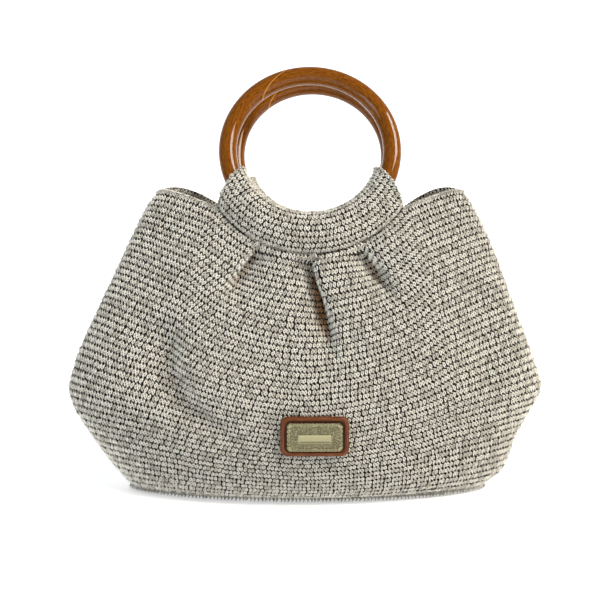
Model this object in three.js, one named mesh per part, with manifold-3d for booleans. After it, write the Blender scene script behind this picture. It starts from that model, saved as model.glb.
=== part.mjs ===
// A soft crocheted handbag carried by two round wooden rings, in millimetres.
// +Z is up, the front faces -Y, and the origin is the middle of the flat underside.
// The bag is a hollow shell of thick crochet: a base, a front and a back that meet along the side
// folds. Its mouth dips in an arc below each ring, where a sleeve of the same crochet wraps the
// ring's lower part. A leather patch with a cast metal plate sits low on the front.
import * as THREE from "three";
import { mergeVertices } from "three/addons/utils/BufferGeometryUtils.js";
import Module from "manifold-3d";

// Wooden rings
const ringDiameter = 142; // across the outside
const ringWood = 14.2; // thickness of the round wood
const ringLeanDegrees = 20; // both rings lean back from upright
const ringClearance = 0.7; // between the wood and the inside of its sleeve

// Crochet sleeves round the rings
const sleeveWall = 4.2;
const sleeveSkirt = 10; // how far the sleeve reaches below the wood's own tube
const sleeveInnerDegrees = 72; // half its arc, along the ring's inner edge
const sleeveSeamDegrees = 56; // half its arc, along the seam with the bag
const seamGap = 0.3; // wherever two pieces of crochet are joined

// The bag's shell
const halfWidth = 187.5; // at its widest
const wingHeight = 237; // top corners beside the sleeves
const wingTipY = 10;
const wingTipDepth = 11; // front to back at a top corner, a little over two thicknesses of crochet
const mouthDip = 51; // from the top corners down to the mouth's lowest point, where a sleeve meets it
const frontSeamY = -19.4;
const backSeamY = 22.2;
const frontSeamX = 4;
const backSeamX = 6.9;
const baseHalfDepth = 35;
const baseSquareness = 1.9; // the underside's outline: 2 is an ellipse, more is squarer
const baseRound = 4; // rounding between the underside and the walls
const frontBulge = 21; // how far the front swells past a straight wall
const backBulge = 17;
const crochet = 3.6; // thickness of the crochet
const backWingLift = 4.5; // the back edge of the mouth stands this much above the front one
const pleatDepth = 12;
const pleatWidth = 30;

// The patch and its plate
const patchWidth = 49.5;
const patchHeight = 28.6;
const patchCorner = 5.5;
const patchX = 6.7;
const patchZ = 57;
const patchThickness = 2;
const patchRimWidth = 3.4;
const patchRimRise = 1.4;
const fixingGap = 0.3; // between the bag, the patch and the plate
const plateSideGap = 1.65; // between the patch's rim and the plate's ends
const plateTopGap = 1; // between the rim and the plate, above and below
const plateWidth = patchWidth - 2 * (patchRimWidth + plateSideGap);
const plateHeight = patchHeight - 2 * (patchRimWidth + plateTopGap);
const plateDrop = 0.4; // the plate sits this much below the patch's middle
const plateCorner = 3;
const plateThickness = 1;
const plateRimWidth = 1.9;
const plateRimRise = 0.5;
const plateScallop = 0.28; // depth of the waves along the plate's edge
const plateScallops = 22;
const barSideGap = 8; // between the plate's ends and the bar's
const barTopGap = 6.8; // between the plate's long edges and the bar's
const barWidth = plateWidth - 2 * barSideGap;
const barHeight = plateHeight - 2 * barTopGap;
const barRise = 0.35;

// Facets
const bodyColumns = 56; // across each of the front and the back
const bodyRows = 15;
const ringSteps = 44;
const woodSides = 10;
const sleeveSteps = 16;
const sleeveSides = 12;

const lean = THREE.MathUtils.degToRad(ringLeanDegrees);
const ringRadius = (ringDiameter - ringWood) / 2; // of the wood's centre line
const boreRadius = ringWood / 2 + ringClearance;
const sleeveTube = boreRadius + sleeveWall;
const sleeveTop = ringRadius - sleeveTube;
const sleeveBottom = ringRadius + sleeveTube + sleeveSkirt;
const seamRadius = sleeveBottom + seamGap;
const seamHeight = wingHeight - mouthDip;

// The side outline from the underside to the top corner, as shares of halfWidth and wingHeight.
const sideOutline = [
  { row: 0.0, up: 0.0, left: 0.745, right: 0.765 },
  { row: 0.06, up: 0.055, left: 0.805, right: 0.845 },
  { row: 0.19, up: 0.172, left: 0.91, right: 0.902 },
  { row: 0.265, up: 0.242, left: 0.967, right: 0.95 },
  { row: 0.34, up: 0.318, left: 1.0, right: 1.0 },
  { row: 0.385, up: 0.362, left: 0.992, right: 0.994 },
  { row: 0.47, up: 0.45, left: 0.957, right: 0.958 },
  { row: 0.65, up: 0.63, left: 0.853, right: 0.874 },
  { row: 0.825, up: 0.81, left: 0.746, right: 0.788 },
  { row: 0.94, up: 0.93, left: 0.67, right: 0.713 },
  { row: 1.0, up: 0.99, left: 0.616, right: 0.664 },
];

// Folds of the front: each runs from start by middle to end, as shares of halfWidth and wingHeight.
// depth is a share of pleatDepth, below zero where the crochet is drawn in. left and right are the
// fold's width on each side as shares of pleatWidth, so a steep side belongs to a knife pleat.
const frontFolds = [
  { start: [0.035, 0.8], middle: [0.078, 0.64], end: [0.125, 0.42], depth: -1.0, left: 0.45, right: 0.18 },
  { start: [0.1, 0.82], middle: [0.2, 0.62], end: [0.34, 0.38], depth: 0.25, left: 0.3, right: 0.5 },
  { start: [0.21, 0.83], middle: [0.3, 0.735], end: [0.375, 0.61], depth: -0.8, left: 0.45, right: 0.18 },
  { start: [0.28, 0.88], middle: [0.42, 0.78], end: [0.56, 0.62], depth: 0.3, left: 0.3, right: 0.6 },
  { start: [-0.2, 0.81], middle: [-0.265, 0.74], end: [-0.32, 0.6], depth: -0.75, left: 0.18, right: 0.45 },
  { start: [-0.34, 0.92], middle: [-0.46, 0.76], end: [-0.62, 0.58], depth: 0.36, left: 0.7, right: 0.5 },
  { start: [-0.56, 0.5], middle: [-0.43, 0.3], end: [-0.17, 0.17], depth: -0.45, left: 0.7, right: 0.4 },
  { start: [0.73, 0.66], middle: [0.76, 0.46], end: [0.72, 0.26], depth: -0.36, left: 0.6, right: 0.5 },
];

// The back is gathered by four like pleats, spaced evenly.
const backFolds = [
  { start: [-0.24, 0.82], middle: [-0.33, 0.68], end: [-0.45, 0.46], depth: -0.75, left: 0.2, right: 0.55 },
  { start: [-0.06, 0.8], middle: [-0.08, 0.62], end: [-0.14, 0.4], depth: -0.85, left: 0.18, right: 0.5 },
  { start: [0.12, 0.8], middle: [0.15, 0.62], end: [0.2, 0.42], depth: -0.85, left: 0.5, right: 0.18 },
  { start: [0.29, 0.83], middle: [0.38, 0.7], end: [0.5, 0.48], depth: -0.75, left: 0.55, right: 0.2 },
];

// How the surface blends from one part to the next. across is 0 in the middle and 1 at a side fold,
// and row is 0 at the underside and 1 at the mouth. Each span starts and ends at these shares.
const blend = {
  wingRise: 1.5, // power of the mouth's rise from a sleeve's end: more makes it start steeper
  corner: 12, // power that rounds a top corner: more makes it tighter
  swellUp: 0.55, // power that sets the swell's height: less puts it lower down
  swellAcross: 2.4, // powers that flatten the swell's middle
  swellFlat: 0.8,
  depthRows: 1.12, // the base's depth turns into the mouth's over these rows
  seamSquare: { rows: [0.8, 1], across: [0.5, 0.7] }, // the crochet turns square to the ring
  foldFree: { base: [0, 0.12], mouth: [0.93, 1], side: [0.8, 1] }, // folds fade at every edge
  foldFade: 0.6, // a fold is at its full depth above this share of its length
  drawnSmaller: [0.75, 0.95], // the inner face follows the outer one drawn smaller
  sideThick: 0.85, // the side fold's thickness is measured here
  columnSpread: 0.15, // columns stand closer together at the side folds by this share
};

const front = { side: -1, seamX: frontSeamX, seamY: frontSeamY, bulge: frontBulge, folds: frontFolds, lift: 0 };
const back = {
  side: 1, seamX: backSeamX, seamY: backSeamY, bulge: backBulge, folds: backFolds, lift: backWingLift,
};

const mix = THREE.MathUtils.lerp;
const ease = (value, low, high) => THREE.MathUtils.smoothstep(value, low, high);

// A smooth curve through one column of a table, read at a place in its key column.
function readTable(table, key, column, at) {
  const slope = (i) => {
    const low = table[Math.max(i - 1, 0)];
    const high = table[Math.min(i + 1, table.length - 1)];
    return (high[column] - low[column]) / (high[key] - low[key]);
  };
  let i = 0;
  while (i < table.length - 2 && at > table[i + 1][key]) i += 1;
  const span = table[i + 1][key] - table[i][key];
  const t = (at - table[i][key]) / span;
  const rest = 1 - t;
  return (
    table[i][column] * (1 + 2 * t) * rest * rest +
    slope(i) * span * t * rest * rest +
    table[i + 1][column] * t * t * (3 - 2 * t) -
    slope(i + 1) * span * t * t * rest
  );
}

// A ring's centre, worked out from where its sleeve's seam lies on the bag.
function ringCentre(panel) {
  return new THREE.Vector3(
    panel.seamX,
    panel.seamY + seamRadius * Math.sin(lean),
    seamHeight + seamRadius * Math.cos(lean),
  );
}

// A fold's place at a height: a parabola through its three points.
function foldX(fold, z) {
  const points = [fold.start, fold.middle, fold.end].map(([x, up]) => [x * halfWidth, up * wingHeight]);
  return points.reduce((sum, [x, at]) => {
    const others = points.filter(([, other]) => other !== at);
    return sum + others.reduce((share, [, other]) => (share * (z - other)) / (at - other), x);
  }, 0);
}

// How far a panel's fabric is pushed out (or drawn in, below zero) at a place seen from the front.
function foldHeight(panel, x, z) {
  return panel.folds.reduce((height, fold) => {
    const top = fold.start[1] * wingHeight;
    const bottom = fold.end[1] * wingHeight;
    const slant = Math.hypot(1, (foldX(fold, top) - foldX(fold, bottom)) / (top - bottom));
    const across = (x - foldX(fold, THREE.MathUtils.clamp(z, bottom, top))) / slant;
    const width = pleatWidth * (across < 0 ? fold.left : fold.right);
    const fade = ease(z, bottom, mix(bottom, top, blend.foldFade)) * (1 - ease(z, top, top + pleatWidth));
    return height + fold.depth * pleatDepth * fade * Math.exp(-((across / width) ** 2));
  }, 0);
}

// The mouth's edge on a panel: across runs from -1 at the left fold to 1 at the right one.
function mouthPoint(panel, across) {
  const top = sideOutline[sideOutline.length - 1];
  const reach = halfWidth * (across < 0 ? top.left : top.right);
  const x = across * reach;
  const centre = ringCentre(panel);
  const seamEnd = THREE.MathUtils.degToRad(sleeveSeamDegrees);
  const endX = panel.seamX + Math.sign(across) * seamRadius * Math.sin(seamEnd);
  const turn = Math.asin(THREE.MathUtils.clamp((x - panel.seamX) / seamRadius, -1, 1));
  const onSeam = Math.abs(turn) <= seamEnd;
  const drop = seamRadius * Math.cos(onSeam ? turn : seamEnd);
  const seamPoint = new THREE.Vector3(
    x,
    centre.y - drop * Math.sin(lean) + (panel.side * crochet * Math.cos(lean)) / 2,
    centre.z - drop * Math.cos(lean) - (panel.side * crochet * Math.sin(lean)) / 2,
  );
  if (onSeam) return seamPoint;
  const out = (Math.abs(x) - Math.abs(endX)) / (reach - Math.abs(endX));
  const rise = (1 - (1 - out) ** blend.wingRise) * (wingHeight - seamPoint.z);
  const corner = out ** blend.corner * (1 - top.up) * wingHeight;
  const tipDepth = (panel.side * wingTipDepth * Math.sqrt(1 - Math.abs(across) ** blend.corner)) / 2;
  seamPoint.y = mix(seamPoint.y, wingTipY + tipDepth, out);
  seamPoint.z += rise - corner + panel.lift * Math.sin(Math.PI * out);
  return seamPoint;
}

// The smooth shell without folds. row runs from 0 at the underside to 1 at the mouth.
function smoothPoint(panel, across, row) {
  const key = across < 0 ? "left" : "right";
  const edge = Math.abs(across);
  const mouth = mouthPoint(panel, across);
  const x = across * halfWidth * readTable(sideOutline, "row", key, row);
  const sideRise = readTable(sideOutline, "row", "up", row) / sideOutline[sideOutline.length - 1].up;
  const z = baseRound + (mouth.z - baseRound) * mix(row, sideRise, edge ** 3);
  const foldY = wingTipY * ease(row, 0, 1);
  const baseDepth = baseHalfDepth * (1 - edge ** baseSquareness) ** (1 / baseSquareness);
  const mouthDepth = panel.side * (mouth.y - wingTipY);
  const swellAcross = (1 - edge ** blend.swellAcross) ** blend.swellFlat;
  const swell = panel.bulge * Math.sin(Math.PI * row ** blend.swellUp) * swellAcross;
  const change = ease(row, 0, blend.depthRows) / ease(1, 0, blend.depthRows);
  const depth = mix(baseDepth, mouthDepth, change) + swell;
  return new THREE.Vector3(x, foldY + panel.side * depth, z);
}

// The outward direction of the smooth shell. At the seam it turns square to the leaning ring.
function outward(panel, across, row) {
  const step = 0.01;
  const inside = THREE.MathUtils.clamp(across, step - 0.995, 0.995 - step);
  const low = Math.max(row - step, 0);
  const high = Math.min(row + step, 1);
  const side = smoothPoint(panel, inside + step, row).sub(smoothPoint(panel, inside - step, row));
  const rise = smoothPoint(panel, inside, high).sub(smoothPoint(panel, inside, low));
  const normal = side.cross(rise).normalize().multiplyScalar(-panel.side);
  const square = new THREE.Vector3(0, panel.side * Math.cos(lean), -panel.side * Math.sin(lean));
  const { rows, across: span } = blend.seamSquare;
  const atSeam = ease(row, ...rows) * (1 - ease(Math.abs(across), ...span));
  return normal.lerp(square, atSeam).normalize();
}

// A point of the folded shell, inset from its outer face by a share of the crochet's thickness.
// Near the side folds the inner face is the outer one drawn smaller, so that it never crosses itself.
function shellPoint(panel, across, row, inset) {
  const point = smoothPoint(panel, across, row);
  const edge = Math.abs(across);
  const { base, mouth, side } = blend.foldFree;
  const free = (1 - ease(edge, ...side)) * (1 - ease(row, ...mouth)) * ease(row, ...base);
  const height = foldHeight(panel, point.x, point.z) * free;
  const end = across < 0 ? -1 : 1;
  const fold = smoothPoint(panel, end, row);
  const thick = Math.abs(smoothPoint(panel, end * blend.sideThick, row).y - fold.y);
  const smaller = new THREE.Vector3(
    point.x * (1 - (inset * crochet) / Math.abs(fold.x)),
    mix(point.y, fold.y, (inset * crochet) / thick),
    point.z,
  );
  point.addScaledVector(outward(panel, across, row), height - inset * crochet);
  return point.lerp(smaller, ease(edge, ...blend.drawnSmaller));
}

// Collects triangles and quads, and turns them into one closed geometry.
class Skin {
  constructor() {
    this.numbers = [];
  }
  triangle(a, b, c) {
    for (const p of [a, b, c]) this.numbers.push(p.x, p.y, p.z);
  }
  quad(a, b, c, d) {
    this.triangle(a, b, c);
    this.triangle(a, c, d);
  }
  geometry() {
    const made = new THREE.BufferGeometry();
    made.setAttribute("position", new THREE.Float32BufferAttribute(this.numbers, 3));
    const merged = mergeVertices(made, 1e-4);
    merged.computeVertexNormals();
    return merged;
  }
}

// One row of a panel's outer or inner face, from the left side fold to the right one. Its ends stop
// short of the other panel by half the gap.
function panelRow(panel, row, inset) {
  return Array.from({ length: bodyColumns + 1 }, (_, i) => {
    const even = (2 * i) / bodyColumns - 1;
    const spread = 1 + blend.columnSpread * (1 - even ** 4);
    const point = shellPoint(panel, THREE.MathUtils.clamp(even * spread, -1, 1), row, inset);
    if (i === 0 || i === bodyColumns) point.y += (panel.side * seamGap) / 2;
    return point;
  });
}

// The front or the back: its outer face, its inner face, and the four edges that close them.
function panelGeometry(panel) {
  const rows = Array.from({ length: bodyRows + 1 }, (_, j) => j / bodyRows);
  const outside = rows.map((row) => panelRow(panel, row, 0));
  const inside = rows.map((row) => panelRow(panel, row, 1));
  const skin = new Skin();
  const band = (low, high, facingFront) => {
    for (let i = 0; i < low.length - 1; i += 1) {
      if (facingFront) skin.quad(low[i], low[i + 1], high[i + 1], high[i]);
      else skin.quad(low[i], high[i], high[i + 1], low[i + 1]);
    }
  };
  const isFront = panel.side < 0;
  for (let j = 0; j < bodyRows; j += 1) {
    band(outside[j], outside[j + 1], isFront);
    band(inside[j], inside[j + 1], !isFront);
  }
  band(inside[0], outside[0], isFront);
  band(outside[bodyRows], inside[bodyRows], isFront);
  const edge = (i) => [outside.map((loop) => loop[i]), inside.map((loop) => loop[i])];
  const [leftOut, leftIn] = edge(0);
  const [rightOut, rightIn] = edge(bodyColumns);
  band(leftIn, leftOut, !isFront);
  band(rightIn, rightOut, isFront);
  return skin.geometry();
}

// The base: a flat pad below both panels, with its lower edge rounded in.
function baseGeometry() {
  const fronts = panelRow(front, 0, 0);
  const backs = panelRow(back, 0, 0);
  const height = baseRound - seamGap;
  const lay = (p, inward, z) => {
    const direction = new THREE.Vector2(p.x, p.y * 3).normalize();
    return new THREE.Vector3(p.x - direction.x * inward, p.y - direction.y * inward, z);
  };
  const last = bodyColumns;
  const middle = (i) => new THREE.Vector3(fronts[i].x, 0, 0);
  const outline = (row) => row.map((p, i) => (i === 0 || i === last ? middle(i) : p));
  const make = (row, inward, z) => outline(row).map((p) => lay(p, inward, z));
  const [frontLow, frontHigh] = [make(fronts, baseRound, 0), make(fronts, 0, height)];
  const [backLow, backHigh] = [make(backs, baseRound, 0), make(backs, 0, height)];
  const skin = new Skin();
  for (let i = 0; i < last; i += 1) {
    const k = i + 1;
    skin.quad(frontLow[i], frontLow[k], frontHigh[k], frontHigh[i]);
    skin.quad(backLow[i], backHigh[i], backHigh[k], backLow[k]);
    if (i === 0) {
      skin.triangle(frontLow[i], backLow[k], frontLow[k]);
      skin.triangle(frontHigh[i], frontHigh[k], backHigh[k]);
    } else if (k === last) {
      skin.triangle(frontLow[i], backLow[i], frontLow[k]);
      skin.triangle(frontHigh[i], frontHigh[k], backHigh[i]);
    } else {
      skin.quad(frontLow[i], backLow[i], backLow[k], frontLow[k]);
      skin.quad(frontHigh[i], frontHigh[k], backHigh[k], backHigh[i]);
    }
  }
  return skin.geometry();
}

// A ring's sleeve in the ring's own frame: its plane is XZ, its centre the origin, and it hangs down.
function sleeveGeometry() {
  const inner = THREE.MathUtils.degToRad(sleeveInnerDegrees);
  const seam = THREE.MathUtils.degToRad(sleeveSeamDegrees);
  const place = (share, radius, out) => {
    const turn = share * mix(inner, seam, (radius - sleeveTop) / (sleeveBottom - sleeveTop));
    return new THREE.Vector3(radius * Math.sin(turn), out, -radius * Math.cos(turn));
  };
  const outline = (share, tube, skirt) =>
    Array.from({ length: sleeveSides }, (_, i) => {
      const turn = (2 * Math.PI * i) / sleeveSides;
      const down = Math.cos(turn);
      return place(share, ringRadius + down * (tube + (down > 0 ? skirt : 0)), tube * Math.sin(turn));
    });
  const skin = new Skin();
  const wall = (a, b) => {
    for (let i = 0; i < sleeveSides; i += 1) {
      const k = (i + 1) % sleeveSides;
      skin.quad(a[i], a[k], b[k], b[i]);
    }
  };
  const shares = Array.from({ length: sleeveSteps + 1 }, (_, i) => (2 * i) / sleeveSteps - 1);
  const outer = shares.map((share) => outline(share, sleeveTube, sleeveSkirt));
  const bore = shares.map((share) => outline(share, boreRadius, 0));
  for (let j = 0; j < sleeveSteps; j += 1) {
    wall(outer[j], outer[j + 1]);
    wall(bore[j + 1], bore[j]);
  }
  wall(bore[0], outer[0]);
  wall(outer[sleeveSteps], bore[sleeveSteps]);
  return skin.geometry();
}

function ringGeometry() {
  const section = Array.from({ length: woodSides + 1 }, (_, i) => {
    const turn = (2 * Math.PI * (i % woodSides)) / woodSides;
    return new THREE.Vector2(ringRadius + (ringWood / 2) * Math.cos(turn), (ringWood / 2) * Math.sin(turn));
  });
  return new THREE.LatheGeometry(section, ringSteps);
}

// A rectangle with round corners, whose edge may wave in and out.
function roundedOutline(width, height, corner, waves, waveDepth) {
  const shape = new THREE.Shape();
  const [w, h] = [width / 2, height / 2];
  shape.moveTo(-w + corner, -h);
  shape.lineTo(w - corner, -h);
  shape.absarc(w - corner, -h + corner, corner, -Math.PI / 2, 0);
  shape.lineTo(w, h - corner);
  shape.absarc(w - corner, h - corner, corner, 0, Math.PI / 2);
  shape.lineTo(-w + corner, h);
  shape.absarc(-w + corner, h - corner, corner, Math.PI / 2, Math.PI);
  shape.lineTo(-w, -h + corner);
  shape.absarc(-w + corner, -h + corner, corner, Math.PI, 1.5 * Math.PI);
  if (!waves) return shape.getSpacedPoints(44).slice(0, -1);
  const points = shape.getSpacedPoints(waves * 4).slice(0, -1);
  return points.map((p, i) => {
    const inward = p.clone().normalize().multiplyScalar(waveDepth * (1 - Math.cos((Math.PI * i) / 2)));
    return p.sub(inward);
  });
}

// Turns a geometry into a solid that can be joined or cut, and back.
const wasm = await Module();
wasm.setup();

function toSolid(geometry) {
  const bare = new THREE.BufferGeometry();
  bare.setAttribute("position", (geometry.index ? geometry.toNonIndexed() : geometry).getAttribute("position"));
  const merged = mergeVertices(bare, 1e-4);
  return new wasm.Manifold(
    new wasm.Mesh({
      numProp: 3,
      vertProperties: new Float32Array(merged.getAttribute("position").array),
      triVerts: new Uint32Array(merged.index.array),
    }),
  );
}

function toGeometry(solid) {
  const mesh = solid.getMesh();
  const made = new THREE.BufferGeometry();
  made.setAttribute("position", new THREE.Float32BufferAttribute(mesh.vertProperties, 3));
  made.setIndex(new THREE.Uint32BufferAttribute(mesh.triVerts, 1));
  made.computeVertexNormals();
  return made;
}

// A slab of an outline between two depths. Its face looks towards -Y once it is turned upright.
function slab(outline, low, high) {
  const shape = new THREE.Shape(outline);
  const made = new THREE.ExtrudeGeometry(shape, { depth: high - low, bevelEnabled: false, steps: 1 });
  made.translate(0, 0, low);
  return toSolid(made);
}

// The patch has a raised rim round the recess where the plate lies.
function patchGeometry() {
  const outline = (inset) =>
    roundedOutline(patchWidth - 2 * inset, patchHeight - 2 * inset, patchCorner - inset * 0.6, 0, 0);
  const whole = slab(outline(0), 0, patchThickness + patchRimRise);
  const recess = slab(outline(patchRimWidth), patchThickness, patchThickness + patchRimRise * 2);
  return toGeometry(whole.subtract(recess));
}

function plateGeometry() {
  const outline = (inset, depth) =>
    roundedOutline(plateWidth - 2 * inset, plateHeight - 2 * inset, plateCorner, plateScallops, depth);
  const whole = slab(outline(0, plateScallop), 0, plateThickness + plateRimRise);
  const field = slab(outline(plateRimWidth, 0), plateThickness, plateThickness + plateRimRise * 2);
  const bar = new THREE.BoxGeometry(barWidth, barHeight, barRise * 2).translate(0, 0, plateThickness);
  return toGeometry(whole.subtract(field).add(toSolid(bar)));
}

// Where the patch lies: square to the shell's outer face and clear of its highest point.
function patchSeat() {
  const find = (x, z) => {
    let row = z / seamHeight;
    let point = new THREE.Vector3();
    for (let i = 0; i < 12; i += 1) {
      const reach = halfWidth * readTable(sideOutline, "row", x < 0 ? "left" : "right", row);
      point = shellPoint(front, x / reach, row, 0);
      row += (z - point.z) / seamHeight;
    }
    return point;
  };
  const [w, h] = [patchWidth / 2, patchHeight / 2];
  const centre = find(patchX, patchZ);
  const side = find(patchX + w, patchZ).sub(find(patchX - w, patchZ)).normalize();
  const rise = find(patchX, patchZ + h).sub(find(patchX, patchZ - h)).normalize();
  const facing = side.clone().cross(rise).normalize();
  let proud = 0;
  for (const u of [-1, -0.5, 0, 0.5, 1])
    for (const v of [-1, -0.5, 0, 0.5, 1])
      proud = Math.max(proud, find(patchX + u * w, patchZ + v * h).sub(centre).dot(facing));
  const turn = new THREE.Matrix4().makeBasis(side, facing.clone().cross(side), facing);
  return { centre: centre.addScaledVector(facing, proud + fixingGap), turn };
}

const crochetYarn = new THREE.MeshStandardMaterial({ color: 0xb9b1a2, roughness: 0.95, metalness: 0 });
const lacqueredWood = new THREE.MeshStandardMaterial({ color: 0x9a5416, roughness: 0.28, metalness: 0 });
const brownLeather = new THREE.MeshStandardMaterial({ color: 0x7a3d1a, roughness: 0.5, metalness: 0 });
const castMetal = new THREE.MeshStandardMaterial({ color: 0xa79f78, roughness: 0.35, metalness: 1 });

function named(name, geometry, material) {
  const mesh = new THREE.Mesh(geometry, material);
  mesh.name = name;
  return mesh;
}

function handle(panel, ringName, sleeveName) {
  const group = new THREE.Group();
  group.position.copy(ringCentre(panel));
  group.rotation.x = -lean;
  group.add(named(ringName, ringGeometry(), lacqueredWood));
  group.add(named(sleeveName, sleeveGeometry(), crochetYarn));
  return group;
}

function badge() {
  const seat = patchSeat();
  const group = new THREE.Group();
  group.position.copy(seat.centre);
  group.quaternion.setFromRotationMatrix(seat.turn);
  group.add(named("leather_patch", patchGeometry(), brownLeather));
  const plate = named("metal_plate", plateGeometry(), castMetal);
  plate.position.set(0, -plateDrop, patchThickness + fixingGap);
  group.add(plate);
  return group;
}

const handbag = new THREE.Group();
handbag.add(named("base", baseGeometry(), crochetYarn));
handbag.add(named("front_panel", panelGeometry(front), crochetYarn));
handbag.add(named("back_panel", panelGeometry(back), crochetYarn));
handbag.add(handle(front, "front_ring", "front_sleeve"));
handbag.add(handle(back, "back_ring", "back_sleeve"));
handbag.add(badge());

export default handbag;
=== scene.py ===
# %% [markdown]
# # A crocheted handbag carried by two wooden rings
#
# The real bag is thick, mottled, off-white yarn worked in single crochet, round and round from an
# oval base to a wide body, and pleated below two lacquered wooden rings. This lesson dresses its
# rigid CAD frame: a shell of fabric, thousands of real stitches on it, glossy wood, a leather patch
# and a little cast plate. Lengths are in millimetres in the maths and become metres in a mesh.

# %% Open the frame
import math

import bpy
import numpy as np
from mathutils import Matrix, Vector


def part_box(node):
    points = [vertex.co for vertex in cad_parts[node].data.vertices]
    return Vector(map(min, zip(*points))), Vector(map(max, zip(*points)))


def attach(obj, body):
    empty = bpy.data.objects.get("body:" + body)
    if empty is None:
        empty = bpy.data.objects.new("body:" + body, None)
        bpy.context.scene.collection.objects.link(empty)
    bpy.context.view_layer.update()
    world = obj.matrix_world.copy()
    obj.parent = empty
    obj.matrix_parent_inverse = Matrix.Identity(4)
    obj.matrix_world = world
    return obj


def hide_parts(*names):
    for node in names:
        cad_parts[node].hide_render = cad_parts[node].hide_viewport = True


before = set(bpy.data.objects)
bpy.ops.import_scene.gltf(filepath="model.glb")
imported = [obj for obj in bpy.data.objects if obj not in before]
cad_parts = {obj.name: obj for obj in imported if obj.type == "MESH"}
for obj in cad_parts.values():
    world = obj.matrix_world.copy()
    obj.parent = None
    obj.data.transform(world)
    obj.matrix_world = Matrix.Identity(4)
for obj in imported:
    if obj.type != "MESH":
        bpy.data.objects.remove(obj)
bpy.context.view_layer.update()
MM = 0.001
print("CAD nodes:", sorted(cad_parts))


# %% [markdown]
# ## Small helpers
#
# A colour on a paint card or screen is an sRGB value, and a shader wants linear light, so one
# function turns every hex value. Another adds a shader or geometry node with its settings and
# links, which keeps each material down to the lines that say something about it.

# %% Colours and nodes
def linear(hex_colour):
    """A hex sRGB colour as the linear RGBA that shaders read."""
    parts = [int(hex_colour[i : i + 2], 16) / 255 for i in (1, 3, 5)]
    return [p / 12.92 if p <= 0.04045 else ((p + 0.055) / 1.055) ** 2.4 for p in parts] + [1.0]


def add(tree, kind, inputs=None, **settings):
    """Adds a node. An input is a plain value, or an output socket to link from."""
    node = tree.nodes.new(kind)
    for name, value in settings.items():
        setattr(node, name, value)
    for name, value in (inputs or {}).items():
        socket = node.inputs[name]
        if isinstance(value, bpy.types.NodeSocket):
            tree.links.new(value, socket)
        else:
            socket.default_value = value
    return node


def new_material(name, **settings):
    """A material with a Principled surface. Returns the material, its tree and the surface node."""
    material = bpy.data.materials.new(name)
    material.use_nodes = True
    surface = material.node_tree.nodes["Principled BSDF"]
    for key, value in settings.items():
        surface.inputs[key.replace("_", " ")].default_value = value
    return material, material.node_tree, surface


def connect(tree, surface, colour, normal=None):
    """Gives a surface its colour and its relief."""
    tree.links.new(colour, surface.inputs["Base Color"])
    if normal is not None:
        tree.links.new(normal, surface.inputs["Normal"])


def ramp(tree, factor, *stops):
    """A colour ramp with (position, hex colour) stops."""
    node = add(tree, "ShaderNodeValToRGB", {"Fac": factor})
    while len(node.color_ramp.elements) < len(stops):
        node.color_ramp.elements.new(0.5)
    for element, (position, colour) in zip(node.color_ramp.elements, stops):
        element.position = position
        element.color = linear(colour)
    return node.outputs["Color"]


def maths(tree, operation, *values):
    """A Math node on one to three values or outputs. Returns its result."""
    return add(tree, "ShaderNodeMath", dict(enumerate(values)), operation=operation).outputs[0]


def blend(tree, factor, first, second, kind="MIX"):
    """Two colours mixed or multiplied. Sockets 6 and 7 of a Mix node are its colours."""
    inputs = {"Factor": factor, 6: first, 7: second}
    return add(tree, "ShaderNodeMix", inputs, data_type="RGBA", blend_type=kind).outputs[2]


def noise(tree, where, scale, detail):
    inputs = {"Vector": where, "Scale": scale, "Detail": detail}
    return add(tree, "ShaderNodeTexNoise", inputs).outputs["Fac"]


def cells(tree, where, apart):
    """Distance from the nearest of many scattered points, that many millimetres apart."""
    inputs = {"Vector": where, "Scale": 1 / (apart * MM)}
    return add(tree, "ShaderNodeTexVoronoi", inputs).outputs["Distance"]


def relief(tree, height, strength, depth, under=None, invert=False):
    """A bump that deep in millimetres, over another if there is one. Returns its normal."""
    inputs = {"Height": height, "Strength": strength, "Distance": depth * MM}
    if under is not None:
        inputs["Normal"] = under
    return add(tree, "ShaderNodeBump", inputs, invert=invert).outputs["Normal"]


def object_place(tree):
    """Object coordinates, which stay with the piece."""
    return add(tree, "ShaderNodeTexCoord").outputs["Object"]


def uv_place(tree):
    """The piece's own UV map: the whole of it, and its X and its Y."""
    whole = add(tree, "ShaderNodeUVMap", uv_map="UVMap").outputs["UV"]
    parts = add(tree, "ShaderNodeSeparateXYZ", {"Vector": whole}).outputs
    return whole, parts["X"], parts["Y"]


# %% Meshes
def new_object(name, data):
    made = bpy.data.objects.new(name, data)
    bpy.context.scene.collection.objects.link(made)
    return made


def put(name, material, points, faces, uv=None):
    """Makes a smooth object from points in millimetres. uv is one pair for each face corner."""
    mesh = bpy.data.meshes.new(name)
    mesh.from_pydata((np.asarray(points) * MM).tolist(), [], faces)
    if uv is not None:
        layer = mesh.uv_layers.new(name="UVMap")
        layer.data.foreach_set("uv", np.asarray(uv, dtype=np.float32).ravel())
    mesh.polygons.foreach_set("use_smooth", [True] * len(mesh.polygons))
    mesh.materials.append(material)
    print(f"{name}: {sum(len(face) - 2 for face in faces)} triangles")
    return new_object(name, mesh)


def strip_faces(rows, columns, closed_rows=False, closed_columns=False, flip=False):
    """Quads between the neighbouring points of a grid of rows x columns, numbered row by row."""
    faces = []
    for j in range(rows if closed_rows else rows - 1):
        for i in range(columns if closed_columns else columns - 1):
            a, b = j * columns + i, j * columns + (i + 1) % columns
            c, d = ((j + 1) % rows) * columns + (i + 1) % columns, ((j + 1) % rows) * columns + i
            faces.append((a, d, c, b) if flip else (a, b, c, d))
    return faces


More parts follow.
